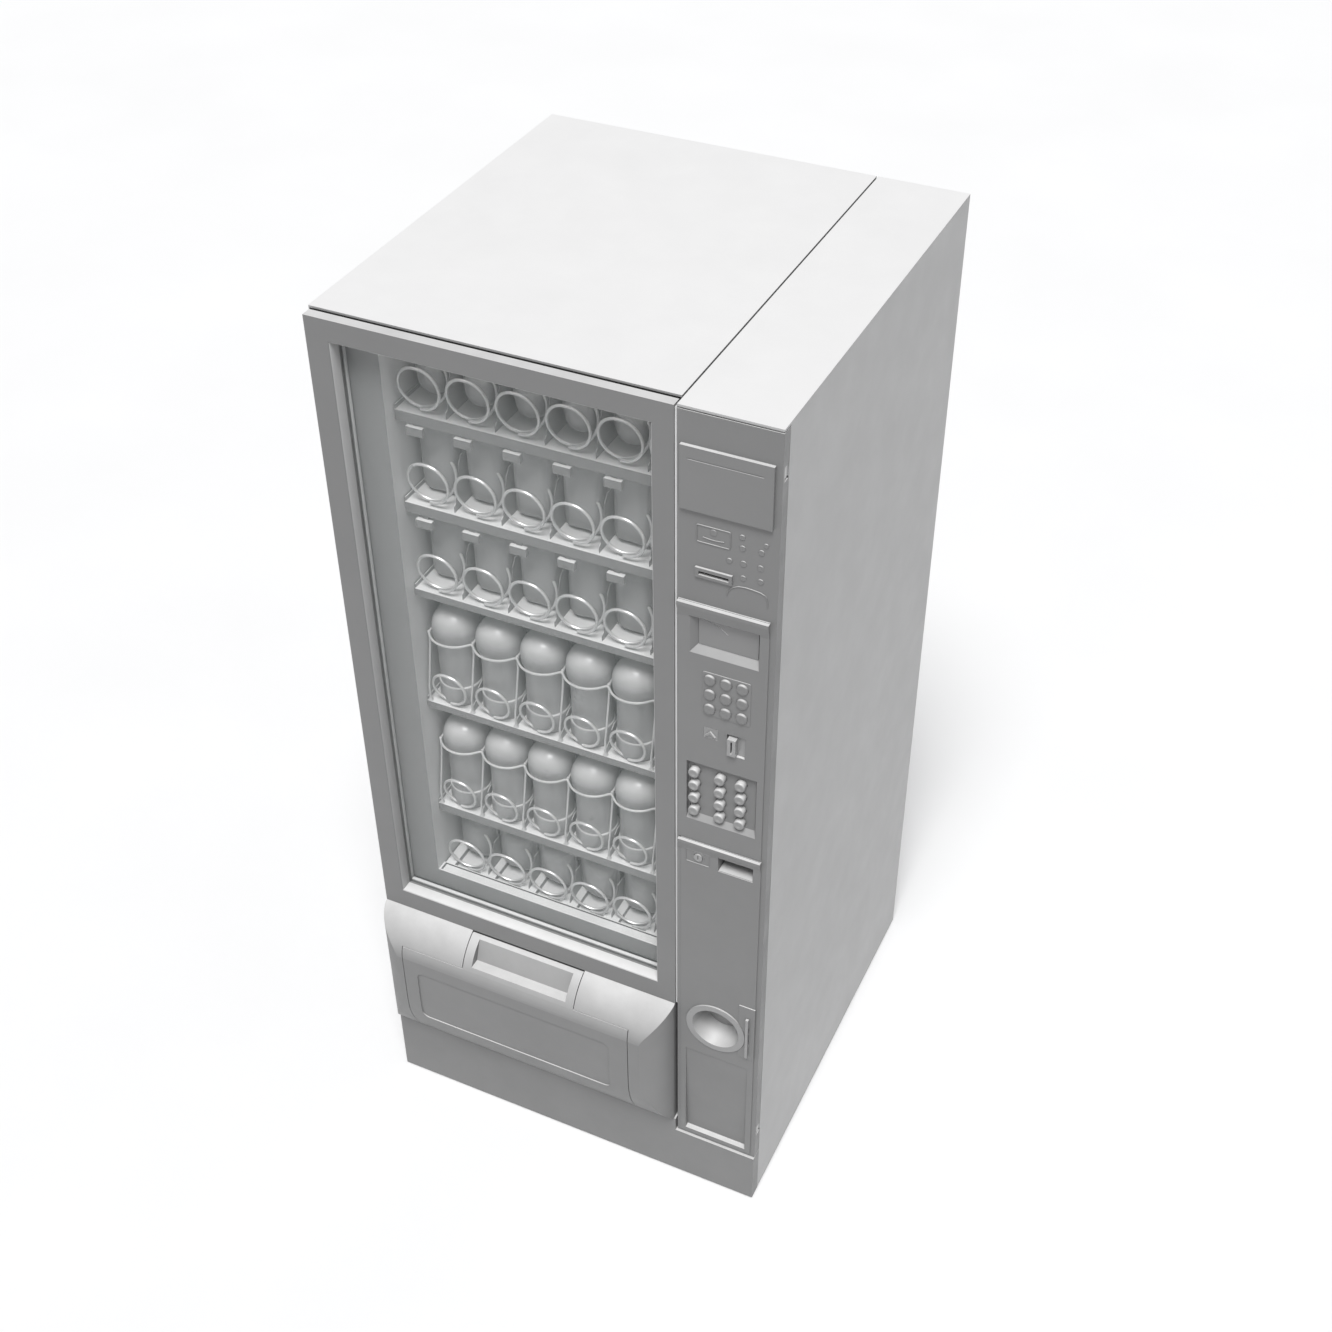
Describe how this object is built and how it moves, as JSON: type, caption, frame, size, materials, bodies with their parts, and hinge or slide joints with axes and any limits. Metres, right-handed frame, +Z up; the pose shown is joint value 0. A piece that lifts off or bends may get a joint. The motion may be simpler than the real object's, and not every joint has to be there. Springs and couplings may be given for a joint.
{
  "type": "snack vending machine",
  "caption": "Full-height glass-front spiral vending machine with a payment column, keypad, coin cup and a swollen delivery pod with a pull-down flap.",
  "frame": {"origin": "middle of the footprint (cabinet and delivery pod) on the floor", "axes": "+Z up, -Y out of the glazed front, +X to the right where the payment column is"},
  "size_m": [0.817, 0.894, 1.83],
  "materials": {
    "bin_plastic": "moulded hopper",
    "clear_glass": "clear toughened glass",
    "coated_sheet": "fine powder coat, light grey",
    "display_lens": "smoked display lens",
    "door_paint": "satin powder coat, mid grey",
    "flap_plastic": "fine textured moulding, mid grey",
    "foot_steel": "zinc plated foot",
    "key_plastic": "satin key caps",
    "liner_plastic": "white moulded lining",
    "motor_plastic": "black gear motor case",
    "panel_plastic": "textured fascia moulding",
    "pod_plastic": "fine textured moulding, grey",
    "polished_steel": "brushed stainless",
    "seal_rubber": "soft black gasket",
    "spring_wire": "nickel plated spring wire",
    "tray_sheet": "white epoxy coated sheet",
    "unit_plastic": "black payment unit case",
    "zinc_plate": "zinc plated sheet"
  },
  "bodies": {
    "cabinet": {"cabinet_wrap": "coated_sheet", "bay_liner": "liner_plastic", "main_top_panel": "coated_sheet", "column_top_panel": "coated_sheet", "base_pan": "zinc_plate", "kick_plate": "door_paint", "levelling_feet": "foot_steel", "tray_rails": "zinc_plate", "tray_1": "tray_sheet", "tray_2": "tray_sheet", "tray_3": "tray_sheet", "tray_4": "tray_sheet", "tray_5": "tray_sheet", "tray_6": "tray_sheet", "snack_spirals": "spring_wire", "bottle_spirals": "spring_wire", "deck_spirals": "spring_wire", "vend_motors": "motor_plastic", "bottle_wire_guards": "spring_wire", "door_hinges": "zinc_plate", "coin_changer": "unit_plastic", "bill_validator": "unit_plastic", "power_inlet": "unit_plastic"},
    "drop_flap": {"drop_flap": "tray_sheet"},
    "spiral_1": {"tray_1_spiral_1": "spring_wire"},
    "spiral_2": {"tray_1_spiral_2": "spring_wire"},
    "spiral_3": {"tray_1_spiral_3": "spring_wire"},
    "spiral_4": {"tray_1_spiral_4": "spring_wire"},
    "spiral_5": {"tray_1_spiral_5": "spring_wire"},
    "spiral_6": {"tray_1_spiral_6": "spring_wire"},
    "main_door": {"main_door_frame": "door_paint", "door_glass": "clear_glass", "glass_gasket": "seal_rubber", "chute_surround": "pod_plastic", "delivery_bin": "bin_plastic"},
    "delivery_flap": {"delivery_flap": "flap_plastic"},
    "baffle": {"anti_theft_baffle": "bin_plastic"},
    "column_door": {"column_door_frame": "door_paint", "header_panel": "panel_plastic", "selection_panel": "panel_plastic", "display_window": "display_lens", "letter_pad": "key_plastic", "coin_entry": "polished_steel", "service_panel": "panel_plastic", "coin_cup": "polished_steel"},
    "coin_return_button": {"coin_return_button": "key_plastic"},
    "release_lever": {"release_lever": "polished_steel"},
    "lock_barrel": {"lock_barrel": "polished_steel"},
    "key_1": {"key_1": "key_plastic"},
    "key_2": {"key_2": "key_plastic"},
    "key_3": {"key_3": "key_plastic"},
    "key_4": {"key_4": "key_plastic"},
    "key_5": {"key_5": "key_plastic"},
    "key_6": {"key_6": "key_plastic"},
    "key_7": {"key_7": "key_plastic"},
    "key_8": {"key_8": "key_plastic"},
    "key_9": {"key_9": "key_plastic"},
    "key_10": {"key_10": "key_plastic"},
    "key_11": {"key_11": "key_plastic"},
    "key_12": {"key_12": "key_plastic"}
  },
  "joints": [
    {"name": "spiral_1_turn", "type": "hinge", "parent": "cabinet", "child": "spiral_1", "pos_m": [-0.251, 0.261, 1.6928], "axis": [0, 1, 0], "continuous": true},
    {"name": "spiral_2_turn", "type": "hinge", "parent": "cabinet", "child": "spiral_2", "pos_m": [-0.1606, 0.261, 1.6928], "axis": [0, 1, 0], "continuous": true},
    {"name": "spiral_3_turn", "type": "hinge", "parent": "cabinet", "child": "spiral_3", "pos_m": [-0.0702, 0.261, 1.6928], "axis": [0, 1, 0], "continuous": true},
    {"name": "spiral_4_turn", "type": "hinge", "parent": "cabinet", "child": "spiral_4", "pos_m": [0.0202, 0.261, 1.6928], "axis": [0, 1, 0], "continuous": true},
    {"name": "spiral_5_turn", "type": "hinge", "parent": "cabinet", "child": "spiral_5", "pos_m": [0.1106, 0.261, 1.6928], "axis": [0, 1, 0], "continuous": true},
    {"name": "spiral_6_turn", "type": "hinge", "parent": "cabinet", "child": "spiral_6", "pos_m": [0.201, 0.261, 1.6928], "axis": [0, 1, 0], "continuous": true},
    {"name": "drop_flap_hinge", "type": "hinge", "parent": "cabinet", "child": "drop_flap", "pos_m": [-0.0285, -0.3385, 0.5945], "axis": [-1, 0, 0], "range_deg": [0, 80], "stiffness_Nm_per_rad": 0.03, "springref_deg": -22.92},
    {"name": "main_door_hinge", "type": "hinge", "parent": "cabinet", "child": "main_door", "pos_m": [-0.3955, -0.377, 1], "axis": [0, 0, -1], "range_deg": [0, 100]},
    {"name": "delivery_flap_hinge", "type": "hinge", "parent": "main_door", "child": "delivery_flap", "pos_m": [-0.091, -0.416, 0.206], "axis": [1, 0, 0], "range_deg": [0, 55], "stiffness_Nm_per_rad": 3, "springref_deg": -22.92},
    {"name": "baffle_hinge", "type": "hinge", "parent": "main_door", "child": "baffle", "pos_m": [-0.091, -0.221, 0.478], "axis": [1, 0, 0], "range_deg": [-75, 0]},
    {"name": "column_door_hinge", "type": "hinge", "parent": "cabinet", "child": "column_door", "pos_m": [0.4035, -0.3755, 1], "axis": [0, 0, 1], "range_deg": [0, 100]},
    {"name": "coin_return_button_slide", "type": "slide", "parent": "column_door", "child": "coin_return_button", "axis": [0, 1, 0], "range_m": [0, 0.002], "stiffness_N_per_m": 500, "springref_m": -0.001},
    {"name": "release_lever_slide", "type": "slide", "parent": "column_door", "child": "release_lever", "axis": [0, 0, -1], "range_m": [0, 0.01], "stiffness_N_per_m": 150, "springref_m": -0.012},
    {"name": "lock_turn", "type": "hinge", "parent": "column_door", "child": "lock_barrel", "pos_m": [0.2815, -0.379, 0.9255], "axis": [0, 1, 0], "range_deg": [0, 90]},
    {"name": "key_1_press", "type": "slide", "parent": "column_door", "child": "key_1", "axis": [0, 1, 0], "range_m": [0, 0.002], "stiffness_N_per_m": 500, "springref_m": -0.001},
    {"name": "key_2_press", "type": "slide", "parent": "column_door", "child": "key_2", "axis": [0, 1, 0], "range_m": [0, 0.002], "stiffness_N_per_m": 500, "springref_m": -0.001},
    {"name": "key_3_press", "type": "slide", "parent": "column_door", "child": "key_3", "axis": [0, 1, 0], "range_m": [0, 0.002], "stiffness_N_per_m": 500, "springref_m": -0.001},
    {"name": "key_4_press", "type": "slide", "parent": "column_door", "child": "key_4", "axis": [0, 1, 0], "range_m": [0, 0.002], "stiffness_N_per_m": 500, "springref_m": -0.001},
    {"name": "key_5_press", "type": "slide", "parent": "column_door", "child": "key_5", "axis": [0, 1, 0], "range_m": [0, 0.002], "stiffness_N_per_m": 500, "springref_m": -0.001},
    {"name": "key_6_press", "type": "slide", "parent": "column_door", "child": "key_6", "axis": [0, 1, 0], "range_m": [0, 0.002], "stiffness_N_per_m": 500, "springref_m": -0.001},
    {"name": "key_7_press", "type": "slide", "parent": "column_door", "child": "key_7", "axis": [0, 1, 0], "range_m": [0, 0.002], "stiffness_N_per_m": 500, "springref_m": -0.001},
    {"name": "key_8_press", "type": "slide", "parent": "column_door", "child": "key_8", "axis": [0, 1, 0], "range_m": [0, 0.002], "stiffness_N_per_m": 500, "springref_m": -0.001},
    {"name": "key_9_press", "type": "slide", "parent": "column_door", "child": "key_9", "axis": [0, 1, 0], "range_m": [0, 0.002], "stiffness_N_per_m": 500, "springref_m": -0.001},
    {"name": "key_10_press", "type": "slide", "parent": "column_door", "child": "key_10", "axis": [0, 1, 0], "range_m": [0, 0.002], "stiffness_N_per_m": 500, "springref_m": -0.001},
    {"name": "key_11_press", "type": "slide", "parent": "column_door", "child": "key_11", "axis": [0, 1, 0], "range_m": [0, 0.002], "stiffness_N_per_m": 500, "springref_m": -0.001},
    {"name": "key_12_press", "type": "slide", "parent": "column_door", "child": "key_12", "axis": [0, 1, 0], "range_m": [0, 0.002], "stiffness_N_per_m": 500, "springref_m": -0.001}
  ],
  "couplings": [
    {"joint": "baffle_hinge", "follows": "delivery_flap_hinge", "ratio": -1.3}
  ]
}
